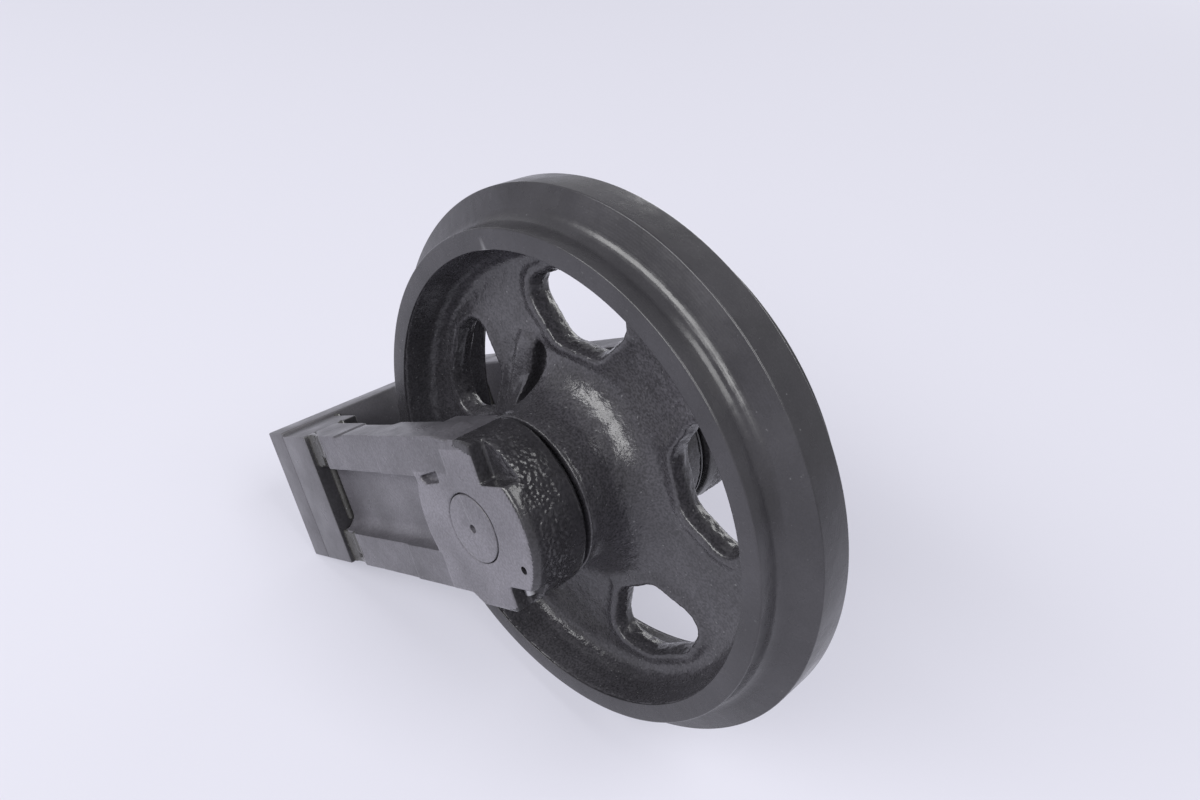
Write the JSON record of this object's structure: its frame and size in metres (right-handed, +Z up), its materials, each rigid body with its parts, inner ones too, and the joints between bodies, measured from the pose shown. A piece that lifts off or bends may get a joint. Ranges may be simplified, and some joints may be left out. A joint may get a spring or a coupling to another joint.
{
  "type": "excavator front idler",
  "caption": "Front idler for a tracked machine: a cast wheel with a centre guide flange turns on a fixed shaft between two brackets welded to a rear cross plate.",
  "frame": {"origin": "on the floor under the middle of the idler's bounding box, with the wheel's flange and the cross plate's lower edge on the floor", "axes": "+Z up, +Y along the wheel's axle away from the camera, +X from the yoke towards the wheel"},
  "size_m": [0.4716, 0.206, 0.4],
  "materials": {
    "wheel_paint": "black semi-gloss paint over cast and turned steel",
    "bracket_paint": "black satin paint over rough cast and machined steel",
    "plate_paint": "black satin paint over flat steel plate",
    "weld_paint": "black satin paint over weld bead",
    "shaft_paint": "black satin paint over the turned ends of a steel shaft",
    "pin_steel": "plain steel",
    "seal_iron": "lapped alloy iron",
    "bronze": "turned bronze",
    "rubber": "black nitrile rubber"
  },
  "bodies": {
    "yoke": {"shaft": "shaft_paint", "oil_plug": "pin_steel", "near_bracket": "bracket_paint", "far_bracket": "bracket_paint", "near_lock_pin": "pin_steel", "far_lock_pin": "pin_steel", "near_o_ring": "rubber", "far_o_ring": "rubber", "near_bracket_seal_ring": "seal_iron", "far_bracket_seal_ring": "seal_iron", "near_bracket_toric": "rubber", "far_bracket_toric": "rubber", "cross_plate": "plate_paint", "near_foot": "plate_paint", "far_foot": "plate_paint", "near_groove_welds": "weld_paint", "far_groove_welds": "weld_paint", "near_pocket_weld": "weld_paint", "far_pocket_weld": "weld_paint", "near_inner_welds": "weld_paint", "far_inner_welds": "weld_paint"},
    "wheel": {"idler_wheel": "wheel_paint", "near_bush": "bronze", "far_bush": "bronze", "near_wheel_seal_ring": "seal_iron", "far_wheel_seal_ring": "seal_iron", "near_wheel_toric": "rubber", "far_wheel_toric": "rubber"}
  },
  "joints": [
    {"name": "wheel_spin", "type": "hinge", "parent": "yoke", "child": "wheel", "pos_m": [0.03582, 0, 0.2], "axis": [0, 1, 0], "continuous": true}
  ]
}
